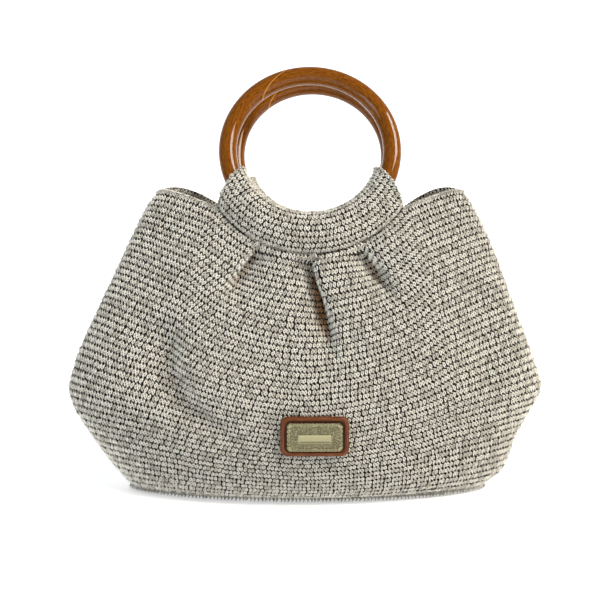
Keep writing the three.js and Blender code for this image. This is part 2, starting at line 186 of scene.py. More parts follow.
def grid_uv(across, up, flip=False):
    """A UV pair for each corner of such quads, from the values at a row's and a column's points."""
    uv = []
    for low, high in zip(up[:-1], up[1:]):
        for left, right in zip(across[:-1], across[1:]):
            a, b, c, d = (left, low), (right, low), (right, high), (left, high)
            uv += [a, d, c, b] if flip else [a, b, c, d]
    return uv


def unit(vectors):
    """Vectors at length 1."""
    return vectors / np.maximum(np.linalg.norm(vectors, axis=-1, keepdims=True), 1e-9)


def full_turn(count):
    """That many angles, equally far apart, once round."""
    return np.linspace(0, 2 * np.pi, count, endpoint=False)


def walked(line):
    """How far each point of a line lies from its start, along the line."""
    return np.concatenate([[0], np.cumsum(np.linalg.norm(np.diff(line, axis=0), axis=1))])


def joined(parts):
    """Several (points, faces, uv) as one."""
    points, faces, uv, shift = [], [], [], 0
    for more, quads, corners in parts:
        points.append(more)
        faces += [tuple(i + shift for i in quad) for quad in quads]
        uv += corners
        shift += len(more)
    return np.concatenate(points), faces, uv


def together(parts):
    """Several dictionaries of arrays as one, each array behind the last."""
    return {key: np.concatenate([part[key] for part in parts]) for key in parts[0]}


def table(columns, *lines):
    """Lines of values as dictionaries with the columns' names."""
    return [dict(zip(columns, line)) for line in lines]


# %% [markdown]
# ## The shape of the bag
#
# A soft bag looks free, but it can be written down. One number, `across`, runs from the left side
# fold to the right one, and another, `row`, from the base to the mouth. Tables give the side
# outline and the folds as shares of the bag's size, the mouth dips in an arc round each ring, and
# the two panels swell between. A sculpted mesh would look as good from one side, but stitches need
# a surface that can be asked, anywhere, for its place and its direction.

# %% Sizes of the bag
ring_low, ring_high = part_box("front_ring")
RING_DIAMETER = (ring_high[0] - ring_low[0]) / MM
RING_WOOD = 14.2
RING_LEAN = math.radians(20)
LEAN_SIN, LEAN_COS = math.sin(RING_LEAN), math.cos(RING_LEAN)
RING_RADIUS = (RING_DIAMETER - RING_WOOD) / 2
BORE_RADIUS = RING_WOOD / 2 + 0.7
SLEEVE_TUBE = BORE_RADIUS + 4.2
SLEEVE_SKIRT = 10
SLEEVE_TOP = RING_RADIUS - SLEEVE_TUBE
SLEEVE_BOTTOM = RING_RADIUS + SLEEVE_TUBE + SLEEVE_SKIRT
SEAM_RADIUS = SLEEVE_BOTTOM + 0.3
SEAM_HALF = math.radians(56)  # half the arc along which a sleeve is sewn to the bag

HALF_WIDTH = 187.5
WING_HEIGHT = 237
WING_TIP_Y = 10
WING_TIP_DEPTH = 11
WING_BEND = 1.5
CORNER_SHARPNESS = 12
SEAM_HEIGHT = 186
BASE_HALF_WIDTH = 142
BASE_HALF_DEPTH = 35
BASE_SQUARENESS = 1.9
BASE_ROUND = 4
CROCHET = 3.6
PLEAT_DEPTH = 12
PLEAT_WIDTH = 30
print(f"ring across {RING_DIAMETER:.1f} mm, bag {2 * HALF_WIDTH} mm wide")

SIDE_OUTLINE = table(
    ("row", "up", "left", "right"),
    (0.0, 0.0, 0.745, 0.765),
    (0.06, 0.055, 0.805, 0.845),
    (0.19, 0.172, 0.91, 0.902),
    (0.265, 0.242, 0.967, 0.95),
    (0.34, 0.318, 1.0, 1.0),
    (0.385, 0.362, 0.992, 0.994),
    (0.47, 0.45, 0.957, 0.958),
    (0.65, 0.63, 0.853, 0.874),
    (0.825, 0.81, 0.746, 0.788),
    (0.94, 0.93, 0.67, 0.713),
    (1.0, 0.99, 0.616, 0.664),
)
FOLD_COLUMNS = ("start", "middle", "end", "depth", "left", "right", "lip", "open")
FRONT_FOLDS = table(  # places as shares of the half width and the height, widths of a pleat's width
    FOLD_COLUMNS,
    ((0.035, 0.8), (0.078, 0.64), (0.125, 0.42), -1.3, 0.42, 0.14, 8, 0.3),
    ((0.1, 0.82), (0.2, 0.62), (0.34, 0.38), 0.25, 0.3, 0.5, 0, 0),
    ((0.21, 0.83), (0.3, 0.735), (0.375, 0.61), -1.05, 0.4, 0.13, 5, 0.5),
    ((0.28, 0.88), (0.42, 0.78), (0.56, 0.62), 0.3, 0.3, 0.6, 0, 0),
    ((-0.2, 0.81), (-0.265, 0.74), (-0.32, 0.6), -0.95, 0.13, 0.42, -6, 0.35),
    ((-0.34, 0.92), (-0.46, 0.76), (-0.62, 0.58), 0.36, 0.7, 0.5, 0, 0),
    ((-0.56, 0.5), (-0.43, 0.3), (-0.17, 0.17), -0.85, 0.5, 0.32, 0, 0),
    ((0.73, 0.66), (0.76, 0.46), (0.72, 0.26), -0.36, 0.6, 0.5, 0, 0),
)
BACK_FOLDS = table(
    FOLD_COLUMNS,
    ((-0.24, 0.82), (-0.33, 0.68), (-0.45, 0.46), -0.9, 0.15, 0.5, -5, 0.3),
    ((-0.06, 0.8), (-0.08, 0.62), (-0.14, 0.4), -1.0, 0.14, 0.45, -6, 0.3),
    ((0.12, 0.8), (0.15, 0.62), (0.2, 0.42), -1.0, 0.45, 0.14, 6, 0.3),
    ((0.29, 0.83), (0.38, 0.7), (0.5, 0.48), -0.9, 0.5, 0.15, 5, 0.3),
)
FRONT, BACK = table(
    ("side", "seam_x", "seam_y", "bulge", "folds", "lift", "sleeve_half"),
    (-1, 4.0, -19.4, 21, FRONT_FOLDS, 0, math.radians(72)),
    (1, 6.9, 22.2, 17, BACK_FOLDS, 4.5, math.radians(66)),
)


# %% Curves through the tables
def ease(value, low, high):
    """A smooth step from 0 at low to 1 at high."""
    t = np.clip((value - low) / (high - low), 0, 1)
    return t * t * (3 - 2 * t)


def mix(a, b, share):
    return a + (b - a) * share


def read_outline(column, at):
    """A smooth curve through one column of the side outline."""
    key = np.array([line["row"] for line in SIDE_OUTLINE])
    value = np.array([line[column] for line in SIDE_OUTLINE])
    low = np.maximum(np.arange(len(key)) - 1, 0)
    high = np.minimum(np.arange(len(key)) + 1, len(key) - 1)
    slope = (value[high] - value[low]) / (key[high] - key[low])
    i = np.clip(np.searchsorted(key, at, side="right") - 1, 0, len(key) - 2)
    span = key[i + 1] - key[i]
    t = (at - key[i]) / span
    rest = 1 - t
    start = value[i] * (1 + 2 * t) * rest**2 + slope[i] * span * t * rest**2
    return start + value[i + 1] * t**2 * (3 - 2 * t) - slope[i + 1] * span * t**2 * rest


def fold_x(fold, z):
    """A fold's place at a height: a parabola through its three points."""
    points = [(x * HALF_WIDTH, up * WING_HEIGHT) for x, up in (fold["start"], fold["middle"], fold["end"])]
    total = 0
    for x, at in points:
        share = x
        for _, other in points:
            if other != at:
                share = share * (z - other) / (at - other)
        total = total + share
    return total


FOLD_FULL = 0.6  # a fold has its full depth from this share of its height
LIP_SPAN = (0.5, 6.0, 34.0)  # where a pleat's lip starts, is widest and ends, from its valley
LIP_RISE = 0.5  # and over which share of the fold's height it grows


def fold_shape(panel, x, z):
    """How far the fabric is pushed out, and how far its lips are drawn sideways over their valleys."""
    height, sideways = np.zeros_like(x), np.zeros_like(x)
    for fold in panel["folds"]:
        top, bottom = fold["start"][1] * WING_HEIGHT, fold["end"][1] * WING_HEIGHT
        slant = math.hypot(1, (fold_x(fold, top) - fold_x(fold, bottom)) / (top - bottom))
        across = (x - fold_x(fold, np.clip(z, bottom, top))) / slant
        width = PLEAT_WIDTH * np.where(across < 0, fold["left"], fold["right"])
        fade = ease(z, bottom, mix(bottom, top, FOLD_FULL)) * (1 - ease(z, top, top + PLEAT_WIDTH))
        height += fold["depth"] * PLEAT_DEPTH * fade * np.exp(-((across / width) ** 2))
        from_valley = across * np.sign(fold["lip"])
        start, widest, end = LIP_SPAN
        lip = ease(from_valley, start, widest) * (1 - ease(from_valley, widest, end))
        grows = [mix(bottom, top, fold["open"] + more) for more in (0, LIP_RISE)]
        sideways -= fold["lip"] * lip * ease(z, *grows)
    return height, sideways


# %% The two panels
def ring_centre(panel):
    y, z = panel["seam_y"] + SEAM_RADIUS * LEAN_SIN, SEAM_HEIGHT + SEAM_RADIUS * LEAN_COS
    return np.array([panel["seam_x"], y, z])


def mouth_edge(panel, across):
    """The mouth's edge as x, y, z: an arc below the ring, then a wing up to the top corner."""
    top = SIDE_OUTLINE[-1]
    reach = HALF_WIDTH * np.where(across < 0, top["left"], top["right"])
    x = across * reach
    centre = ring_centre(panel)
    end_x = np.abs(panel["seam_x"] + np.sign(across) * SEAM_RADIUS * math.sin(SEAM_HALF))
    turn = np.arcsin(np.clip((x - panel["seam_x"]) / SEAM_RADIUS, -1, 1))
    drop = SEAM_RADIUS * np.cos(np.clip(np.abs(turn), 0, SEAM_HALF))
    half = panel["side"] * CROCHET / 2
    y = centre[1] - drop * LEAN_SIN + half * LEAN_COS
    z = centre[2] - drop * LEAN_COS - half * LEAN_SIN
    out = np.clip((np.abs(x) - end_x) / (reach - end_x), 0, 1)
    corner = out**CORNER_SHARPNESS * (1 - top["up"]) * WING_HEIGHT
    round_tip = np.sqrt(np.clip(1 - np.abs(across) ** CORNER_SHARPNESS, 0, 1))
    tip_y = WING_TIP_Y + panel["side"] * WING_TIP_DEPTH / 2 * round_tip
    climb = 1 - (1 - out) ** WING_BEND
    rise = climb * (WING_HEIGHT - z) - corner + panel["lift"] * np.sin(np.pi * out)
    on_wing = np.abs(turn) > SEAM_HALF
    return x, np.where(on_wing, mix(y, tip_y, out), y), np.where(on_wing, z + rise, z)


SIDE_RISE = 3  # the rows follow the side outline's heights only close to the side folds
SWELL_LOW = 0.55  # below 1 the shell swells most below its middle
SWELL_SIDE, SWELL_FLAT = 2.4, 0.8  # how it loses its swell towards the side folds
DEPTH_REACH = 1.12  # the depth still changes where the mouth cuts it off


def smooth_shell(panel, across, row):
    """The shell without its folds."""
    across, row = np.broadcast_arrays(np.asarray(across, float), np.asarray(row, float))
    edge = np.minimum(np.abs(across), 1)
    _, mouth_y, mouth_z = mouth_edge(panel, across)
    reach = np.where(across < 0, read_outline("left", row), read_outline("right", row))
    side_rise = read_outline("up", row) / SIDE_OUTLINE[-1]["up"]
    z = BASE_ROUND + (mouth_z - BASE_ROUND) * mix(row, side_rise, edge**SIDE_RISE)
    base_depth = BASE_HALF_DEPTH * (1 - edge**BASE_SQUARENESS) ** (1 / BASE_SQUARENESS)
    mouth_depth = panel["side"] * (mouth_y - WING_TIP_Y)
    swell = panel["bulge"] * np.sin(np.pi * np.clip(row, 0, 1) ** SWELL_LOW)
    swell = swell * (1 - edge**SWELL_SIDE) ** SWELL_FLAT
    depth = mix(base_depth, mouth_depth, ease(row, 0, DEPTH_REACH) / ease(1, 0, DEPTH_REACH)) + swell
    y = WING_TIP_Y * ease(row, 0, 1) + panel["side"] * depth
    return np.stack([across * HALF_WIDTH * reach, y, z], -1)


LOOK = 0.01  # how far to each side a direction is measured
LAST_ACROSS = 0.995


def outward(panel, across, row):
    """The shell's outward direction, which turns square to the leaning ring at the seam."""
    inside = np.clip(across, LOOK - LAST_ACROSS, LAST_ACROSS - LOOK)
    low, high = np.clip(row - LOOK, 0, 1), np.clip(row + LOOK, 0, 1)
    side = smooth_shell(panel, inside + LOOK, row) - smooth_shell(panel, inside - LOOK, row)
    rise = smooth_shell(panel, inside, high) - smooth_shell(panel, inside, low)
    normal = unit(np.cross(side, rise)) * -panel["side"]
    square = np.array([0, panel["side"] * LEAN_COS, -panel["side"] * LEAN_SIN])
    at_seam = (ease(row, 0.8, 1) * (1 - ease(np.abs(across), 0.5, 0.7)))[..., None]
    return unit(mix(normal, square, at_seam))


# Folds fade towards the side folds, the mouth and the base, and near the side folds an inner face
# is the outer one made smaller, so that the two never cross.
FADE_SIDE, FADE_MOUTH, FADE_BASE = (0.8, 1), (0.955, 1), (0, 0.12)
SMALLER_FROM = (0.75, 0.95)
THICK_AT = 0.85


def shell(panel, across, row, inset=0.0, lips=True):
    """A point of the folded shell, inset by that many millimetres from its outer face."""
    across, row = np.broadcast_arrays(np.asarray(across, float), np.asarray(row, float))
    point = smooth_shell(panel, across, row)
    edge = np.abs(across)
    free = (1 - ease(edge, *FADE_SIDE)) * (1 - ease(row, *FADE_MOUTH)) * ease(row, *FADE_BASE)
    height, sideways = fold_shape(panel, point[..., 0], point[..., 2])
    end = np.where(across < 0, -1.0, 1.0)
    fold = smooth_shell(panel, end, row)
    thick = np.abs(smooth_shell(panel, end * THICK_AT, row) - fold)[..., 1]
    smaller = point.copy()
    smaller[..., 0] *= 1 - inset / np.abs(fold[..., 0])
    smaller[..., 1] = mix(point[..., 1], fold[..., 1], inset / thick)
    moved = point + outward(panel, across, row) * (height * free - inset)[..., None]
    if lips:
        moved[..., 0] += sideways * free
    return mix(moved, smaller, ease(edge, *SMALLER_FROM)[..., None])


def fold_depth(panel, across, row):
    """How deep a place lies in its fold, in millimetres."""
    point = smooth_shell(panel, across, row)
    return np.maximum(-fold_shape(panel, point[..., 0], point[..., 2])[0], 0)


# %% Whole rounds of the bag
CROWDED = 0.15  # places lie closer together near the side folds, where the shell bends sharply
FINE = 1201  # points that measure a line


def place_across(place):
    """On a whole round, place 0 to 1 crosses the front from the left fold, and 1 to 2 the back."""
    place = np.mod(np.asarray(place, float), 2)
    even = np.where(place < 1, 2 * place - 1, 3 - 2 * place)
    return place < 1, np.clip(even * (1 + CROWDED - CROWDED * even**4), -1, 1)


def round_bag(place, row, inset=0.0, lips=True):
    """A point on a whole round of the bag."""
    place, row = np.broadcast_arrays(np.asarray(place, float), np.asarray(row, float))
    in_front, across = place_across(place)
    front, back = (shell(panel, across, row, inset, lips) for panel in (FRONT, BACK))
    return np.where(in_front[..., None], front, back)


# %% [markdown]
# ## The fabric behind the stitches
#
# Crochet is full of small holes, and what shows in them is the shaded yarn behind. So a plain shell
# lies a yarn's thickness below the stitches, in a dark, brownish version of their colour that is painted
# shade. It also closes the bag, and its inner face is what shows through the mouth.

# %% Yarn materials
YARN_THICK = 1.25  # one strand, as it lies in a stitch
STITCH_WIDE = 2.85
STITCH_DEPTH = 1.2  # a stitch's middle lies this far below the fabric's outer face
GROUND_INSET = 2.7  # and the shaded yarn this far
GROUND_THICK = 0.6


def painted_shade_yarn():
    """The yarn deep between the stitches, painted near black as shade: hardly any light reaches it."""
    material, tree, surface = new_material("painted shade cotton yarn", Roughness=0.95)
    mottle = noise(tree, object_place(tree), 1 / (3 * MM), 2)
    connect(tree, surface, ramp(tree, mottle, (0.35, "#15120e"), (0.65, "#2b261f")))
    return material


# Painted shade: the shell behind the stitches and inside the sleeves is coloured as shaded yarn.
PAINTED_SHADE_GROUND = painted_shade_yarn()


# %% The shell
HALF_ROUND_POINTS = 110
OUTER_ROWS, INNER_ROWS = 57, 25


def shell_loops(rows, inset, lips=True):
    """Rounds of points, equally far apart on the front and again on the back."""
    loops = []
    for row in np.linspace(0, 1, rows):
        places = []
        for start in (0, 1):
            fine = np.linspace(start, start + 1, FINE)
            length = walked(round_bag(fine, row, GROUND_INSET))
            shares = np.linspace(0, 1, HALF_ROUND_POINTS, endpoint=False)
            places.append(np.interp(shares * length[-1], length, fine))
        loops.append(round_bag(np.concatenate(places), row, inset, lips))
    return np.stack(loops)


def fabric_shell():
    """Outer and inner rounds, joined over the mouth and closed by a floor and an underside."""
    outer = shell_loops(OUTER_ROWS, GROUND_INSET)
    inner = shell_loops(INNER_ROWS, GROUND_INSET + GROUND_THICK, lips=False)
    inner[0, :, 2] = CROCHET + BASE_ROUND / 2
    inwards = unit(outer[0] * [1, 3, 0]) * BASE_ROUND
    under = outer[0] * [1, 1, 0] - inwards + [0, 0, GROUND_INSET]
    floor = inner[0] * [1, 1, 0] - inwards + [0, 0, CROCHET]
    loops = np.concatenate([floor[None], inner, outer[::-1], under[None]])
    count = loops.shape[1]
    faces = strip_faces(len(loops), count, closed_columns=True)
    for start, down in ((0, False), ((len(loops) - 1) * count, True)):
        for i in range(count // 2):
            corners = [start + i, start + i + 1, start + (count - i - 1) % count, start + (count - i) % count]
            faces.append(tuple(dict.fromkeys(corners[::-1] if down else corners)))
    return put("bag_shell", PAINTED_SHADE_GROUND, loops.reshape(-1, 3), faces)


bag_shell = fabric_shell()


# %% [markdown]
# ## One stitch
#
# A single crochet shows two strands that rise from a hole, lean apart and cross over under the row
# above. Each strand is a short tube with its ends tucked into the fabric. It has only a few dozen
# faces, because it is repeated thousands of times.

# %% The stitch
PATTERN_WIDE, PATTERN_HIGH = 3.6, 4.7  # the size that the two strands are drawn for
STRAND_SIDES = 4
STITCH = [
    [(0.4, -2.4, -0.6), (-0.9, -1.3, 0.3), (-1.15, 0.2, 0.3), (1.0, 1.3, -0.5)],
    [(-0.5, -1.2, -0.7), (1.0, -0.6, 0.2), (1.2, 0.9, 0.35), (-1.0, 2.3, -0.4)],
]


def tube(points, radius, sides, ends=0.75):
    """Points, faces and corner UVs of a tube along a route. It thins towards its ends."""
    route = np.array(points, float)
    ahead = unit(np.gradient(route, axis=0))
    across = unit(np.cross(ahead, [0, 0, 1]))
    up = np.cross(across, ahead)
    turns = full_turn(sides)
    widths = radius * (1 - (1 - ends) * np.abs(np.linspace(-1, 1, len(route))) ** 2)
    circle = np.cos(turns)[None, :, None] * across[:, None] + np.sin(turns)[None, :, None] * up[:, None]
    rings = route[:, None] + circle * widths[:, None, None]
    faces = strip_faces(len(route), sides, closed_columns=True, flip=True)
    last = len(route) - 1
    uv = grid_uv(np.arange(sides + 1) / sides, np.arange(last + 1) / last, flip=True)
    return rings.reshape(-1, 3), faces, uv


def marled_yarn():
    """Soft cotton in several plies, off-white with grey and sand: matte, with fine furrows between the plies.
    Shade is painted into the furrows and where the strands tuck in, and a painted brown shade lies deep in
    the pleats.
    """
    material, tree, surface = new_material("marled cotton yarn", Roughness=0.9, Sheen_Weight=0.15)
    tone, painted_pleat_shade = (
        add(tree, "ShaderNodeAttribute", attribute_name=name).outputs["Fac"] for name in ("tone", "painted_pleat_shade")
    )
    fleck = noise(tree, object_place(tree), 1 / (1.3 * MM), 1)
    yarn = ramp(tree, maths(tree, "ADD", tone, fleck), (0.3, "#b2ada1"), (1.0, "#d2cdc1"), (1.7, "#e2ded3"))
    _, round_strand, along_strand = uv_place(tree)
    twist = maths(tree, "ADD", round_strand, maths(tree, "MULTIPLY", along_strand, 1.5))
    plies = maths(tree, "PINGPONG", maths(tree, "MULTIPLY", twist, 3.0), 1.0)
    # Painted shade: the furrows between the plies are darkened.
    painted_furrow_shade = ramp(tree, plies, (0.0, "#8d857a"), (0.3, "#ffffff"))
    # Painted shade: each strand darkens towards its ends, where it tucks under the fabric.
    painted_tuck_shade = ramp(
        tree, along_strand, (0.0, "#565044"), (0.18, "#ffffff"), (0.8, "#ffffff"), (1.0, "#6a6456")
    )
    colour = blend(tree, 0.5, yarn, painted_furrow_shade, "MULTIPLY")
    colour = blend(tree, 1.0, colour, painted_tuck_shade, "MULTIPLY")
    # Painted shade: deep in the pleats the yarn is multiplied towards a brownish tint.
    colour = blend(tree, painted_pleat_shade, colour, linear("#cfa272"), "MULTIPLY")
    connect(tree, surface, colour, relief(tree, plies, 0.4, 0.3))
    return material


YARN = marled_yarn()
stitch = put("stitch_pattern", YARN, *joined([tube(leg, YARN_THICK / 2, STRAND_SIDES) for leg in STITCH]))


# %% [markdown]
# ## A geometry node tree that crochets
#
# The tree takes loose points, each with the turn and size of its stitch stored on it, and puts a
# stitch on every one. A seeded random number gives each stitch its own tone and a slight wobble, as
# a hand does. Then the instances are made real and get their yarn.

# %% The tree
def crochet_tree():
    tree = bpy.data.node_groups.new("crochet", "GeometryNodeTree")
    kinds = {"Geometry": "Geometry", "Stitch": "Object", "Yarn": "Material", "Wobble": "Float", "Seed": "Int"}
    for name, kind in kinds.items():
        tree.interface.new_socket(name, in_out="INPUT", socket_type="NodeSocket" + kind)
    tree.interface.new_socket("Geometry", in_out="OUTPUT", socket_type="NodeSocketGeometry")
    given = add(tree, "NodeGroupInput").outputs
    pattern = add(tree, "GeometryNodeObjectInfo", {"Object": given["Stitch"]}).outputs["Geometry"]
    turn, size = (
        add(tree, "GeometryNodeInputNamedAttribute", {"Name": name}, data_type=kind).outputs["Attribute"]
        for name, kind in (("turn", "QUATERNION"), ("size", "FLOAT_VECTOR"))
    )
    low, high = (
        add(tree, "ShaderNodeCombineXYZ", dict.fromkeys("XYZ", span)).outputs[0]
        for span in (maths(tree, "MULTIPLY", given["Wobble"], -1.0), given["Wobble"])
    )
    spans = {"Min": low, "Max": high, "Seed": given["Seed"]}
    wobble = add(tree, "FunctionNodeRandomValue", spans, data_type="FLOAT_VECTOR").outputs["Value"]
    tone = add(tree, "FunctionNodeRandomValue", {"Seed": given["Seed"]}, data_type="FLOAT").outputs[1]
    geometry = given["Geometry"]
    for kind, inputs, settings in (
        ("InstanceOnPoints", {"Instance": pattern, "Rotation": turn, "Scale": size}, {}),
        ("RotateInstances", {"Rotation": wobble}, {}),
        ("StoreNamedAttribute", {"Name": "tone", "Value": tone}, dict(data_type="FLOAT", domain="INSTANCE")),
        ("RealizeInstances", {}, {}),
        ("SetMaterial", {"Material": given["Yarn"]}, {}),
    ):
        geometry = add(tree, "GeometryNode" + kind, {0: geometry, **inputs}, **settings).outputs[0]
    add(tree, "NodeGroupOutput", {0: geometry})
    return tree


CROCHET_TREE = crochet_tree()


# %% Stitches on a surface
WOBBLE = 0.22  # the most that a stitch turns about each axis, in radians
UPSIDE_DOWN = 0.2  # this share is turned half round, so that the rows look worked by hand


def quaternions(x_axes, y_axes, z_axes):
    turns = []
    for x, y, z in zip(x_axes, y_axes, z_axes):
        turns.append(Matrix(np.stack([x, y, z], 1).tolist()).to_quaternion())
    return np.array([tuple(turn) for turn in turns])


def stitch_points(name, made, seed):
    """A mesh of loose points with each stitch's turn, size and painted pleat shade."""
    count = len(made["points"])
    along = unit(made["along"])
    normal = unit(np.cross(along, made["up"]))
    way = np.where(np.random.default_rng(seed).uniform(size=count) < UPSIDE_DOWN, -1.0, 1.0)[:, None]
    along, upright = along * way, np.cross(normal, along) * way
    scale = np.column_stack([made["sizes"] / [PATTERN_WIDE, PATTERN_HIGH], np.ones(count)])
    mesh = bpy.data.meshes.new(name + "_points")
    mesh.from_pydata((made["points"] * MM).tolist(), [], [])
    for key, kind, field, values in (
        ("turn", "QUATERNION", "value", quaternions(along, upright, normal)),
        ("size", "FLOAT_VECTOR", "vector", scale),
        ("painted_pleat_shade", "FLOAT", "value", made.get("painted_pleat_shade", np.zeros(count))),
    ):
        mesh.attributes.new(key, kind, "POINT").data.foreach_set(field, values.ravel())
    return mesh


def work_stitches(name, made, seed):
    """Makes one plain mesh of stitches from their places, directions, widths and heights."""
    worker = new_object(name + "_worker", stitch_points(name, made, seed))
    modifier = worker.modifiers.new("crochet", "NODES")
    modifier.node_group = CROCHET_TREE
    ids = {s.name: s.identifier for s in CROCHET_TREE.interface.items_tree if s.in_out == "INPUT"}
    for socket, value in {"Stitch": stitch, "Yarn": YARN, "Wobble": WOBBLE, "Seed": seed}.items():
        modifier[ids[socket]] = value
    graph = bpy.context.evaluated_depsgraph_get()
    mesh = bpy.data.meshes.new_from_object(worker.evaluated_get(graph), depsgraph=graph)
    mesh.name = name
    bpy.data.objects.remove(worker)
    mesh.polygons.foreach_set("use_smooth", [True] * len(mesh.polygons))
    print(f"{name}: {len(made['points'])} stitches, {2 * len(mesh.polygons)} triangles")
    return new_object(name, mesh)


# %% [markdown]
# ## Rounds of crochet
#
# The bag is worked in rounds from its base up. On each round the stitches are equally wide, so a
# longer round simply has more of them, as when a maker increases. Every round is measured along
# the folded surface, so the stitches follow the pleats in and out.

# %% The rounds
ROUNDS = 47
ROUND_DIP = 0.065  # the rounds hang lower in the middle than at the side folds by twice this share
DIP_WIDE = 1.3
LOOSE = 0.12  # how far a stitch may stray along its round, as a share of its width
STRAY = 0.2  # and in any direction, in millimetres
PLACE_STEP = 0.002
PAINTED_SHADE_FROM, PAINTED_SHADE_SPAN = 9.5, 5  # the depth in a pleat where its painted brownish shade starts, and how it grows
# The painted pleat shade fades out between these rows, near the mouth.
PAINTED_SHADE_UP_TO = (0.93, 0.96)


def stitch_frame(point_at, place, row, row_step, inset):
    """A stitch's place and its two directions on a surface, from its neighbours."""
    along = point_at(place + PLACE_STEP, row, inset) - point_at(place - PLACE_STEP, row, inset)
    up = point_at(place, row + row_step, inset) - point_at(place, row - row_step, inset)
    return point_at(place, row, inset), along, up


def on_round(place, share, inset):
    """A point of the bag on a round of crochet, which hangs a little lower in the middle."""
    _, across = place_across(place)
    hang = ROUND_DIP * np.sin(np.pi * np.clip(share, 0, 1)) * (2 * np.abs(across) ** DIP_WIDE - 1)
    return round_bag(place, np.clip(share + hang, 0, 1), inset)


def spaced(line_at, start, end, wide=STITCH_WIDE, rng=None):
    """Places of as many stitches as fit a line, and the width of each. With random numbers the
    line starts anywhere in a stitch, and the places are slightly uneven."""
    fine = np.linspace(start, end, FINE)
    length = walked(line_at(fine))
    count = max(round(length[-1] / wide), 1)
    if rng is None:
        shares = (np.arange(count) + 0.5) / count
    else:
        shift = rng.uniform()
        shares = np.mod((np.arange(count) + shift + rng.uniform(-LOOSE, LOOSE, count)) / count, 1)
    return np.interp(shares * length[-1], length, fine), length[-1] / count


def stitch_rounds(point_at, rounds, start=0.0, end=2.0, inset=STITCH_DEPTH, seed=7, faces=1):
    """Stitches on many rounds of a surface. faces is -1 where they face the other way."""
    rng = np.random.default_rng(seed)
    step = 0.25 / ROUNDS
    made = []
    for share in rounds:
        place, wide = spaced(lambda fine: point_at(fine, share, inset), start, end, rng=rng)
        point, along, up = stitch_frame(point_at, place, share, step, inset)
        high = np.linalg.norm(np.cross(unit(along), up), axis=1) / (2 * step) * abs(rounds[1] - rounds[0])
        made.append({
            "points": point + rng.uniform(-STRAY, STRAY, point.shape), "along": along * faces, "up": up,
            "sizes": np.column_stack([np.full(len(place), wide), high]), "place": place,
            "row": np.full(len(place), share),
        })
    return together(made)


def bag_stitches():
    made = stitch_rounds(on_round, (np.arange(ROUNDS) + 0.5) / ROUNDS)
    in_front, across = place_across(made["place"])
    deep = np.where(in_front, *[fold_depth(panel, across, made["row"]) for panel in (FRONT, BACK)])
    # Painted shade: a stitch deep in a pleat is tinted darker and browner.
    made["painted_pleat_shade"] = np.clip((deep - PAINTED_SHADE_FROM) / PAINTED_SHADE_SPAN, 0, 1) * (1 - ease(made["row"], *PAINTED_SHADE_UP_TO))
    return made


worked = bag_stitches()
crochet = []
for quarter, name in enumerate(("front_left", "front_right", "back_right", "back_left")):
    chosen = np.floor(2 * worked["place"]) == quarter
    picked = {key: value[chosen] for key, value in worked.items()}
    crochet.append(work_stitches("crochet_" + name, picked, seed=quarter))


# %% [markdown]
# ## The mouth's edge, the inside and the underside
#
# The last round turns over the edge of the mouth, so its stitches lie across the thickness of the
# fabric. The upper rounds are worked on the inside too, as deep as the light falls, and the oval base
# starts from its middle and grows round by round.

# %% Edge, inside and base
INSIDE_ROUNDS = 11
INSIDE_START = 0.6  # the first of them lies this far below the mouth, in rounds
INSIDE_INSET = GROUND_INSET + GROUND_THICK + 0.5
EDGE_ROW, EDGE_STEP = 0.995, 0.004
EDGE_SUNK = 0.9
EDGE_OVER = 1.2  # an edge stitch is that much longer than the fabric is thick
BASE_STITCH_HIGH = 4.7
BASE_ROUNDS = table(
    ("inward", "height", "tilt"), (0.9, 3.3, 2.5), *[(4.7 * k + 4.9, 1.6, 0.0) for k in range(6)]
)


def edge_stitches():
    middle = CROCHET / 2
    place, wide = spaced(lambda fine: round_bag(fine, 1, middle), 0, 2)
    _, along, up = stitch_frame(round_bag, place, EDGE_ROW, EDGE_STEP, middle)
    top = round_bag(place, 1, middle) - unit(up) * EDGE_SUNK
    inward = round_bag(place, 1, CROCHET) - round_bag(place, 1, 0)
    seam_x = np.where(place_across(place)[0], FRONT["seam_x"], BACK["seam_x"])
    made = {
        "points": top, "along": along, "up": inward,
        "sizes": np.tile([wide, CROCHET + EDGE_OVER], (len(place), 1)),
    }
    open_edge = np.abs(top[:, 0] - seam_x) > SEAM_RADIUS * math.sin(SEAM_HALF)
    return {key: value[open_edge] for key, value in made.items()}


def under_bag(place, inward, height):
    """A point of the underside, on the base's outline shrunk by that much."""
    shrink = [1 - inward / BASE_HALF_WIDTH, 1 - inward / (BASE_HALF_DEPTH - 1), 0]
    return round_bag(place, 0, 0) * shrink + [0, 0, height]


def base_stitches():
    made, step = [], 0.003
    for line in BASE_ROUNDS:
        at = (line["inward"], line["height"])
        place, wide = spaced(lambda fine: under_bag(fine, *at), 0, 2)
        along = under_bag(place + step, *at) - under_bag(place - step, *at)
        outward_flat = unit(np.cross(unit(along), [0, 0, 1.0]))
        made.append({
            "points": under_bag(place, *at), "along": -along, "up": [0, 0, line["tilt"]] - outward_flat,
            "sizes": np.tile([wide, BASE_STITCH_HIGH], (len(place), 1)),
        })
    return together(made)


inside_rows = 1 - (np.arange(INSIDE_ROUNDS) + INSIDE_START) / ROUNDS
inside = stitch_rounds(on_round, inside_rows, inset=INSIDE_INSET, seed=8, faces=-1)
crochet.append(work_stitches("crochet_inside", inside, seed=21))
crochet.append(work_stitches("crochet_mouth_edge", edge_stitches(), seed=22))
crochet.append(work_stitches("crochet_base", base_stitches(), seed=23))


# %% [markdown]
# ## Sleeves round the rings
#
# Each ring runs through a sleeve of the same crochet, an egg in section, sewn to the bag along its
# lower edge. Its rounds run along the arc.

# %% Sleeve surface
SKIRT_SHARPNESS = 0.35
SLEEVE_STEPS, SLEEVE_SIDES = 61, 40


def lean_back(flat):
    """Turns points of an upright ring back by its lean."""
    x, y, z = np.moveaxis(flat, -1, 0)
    return np.stack([x, y * LEAN_COS + z * LEAN_SIN, -y * LEAN_SIN + z * LEAN_COS], -1)


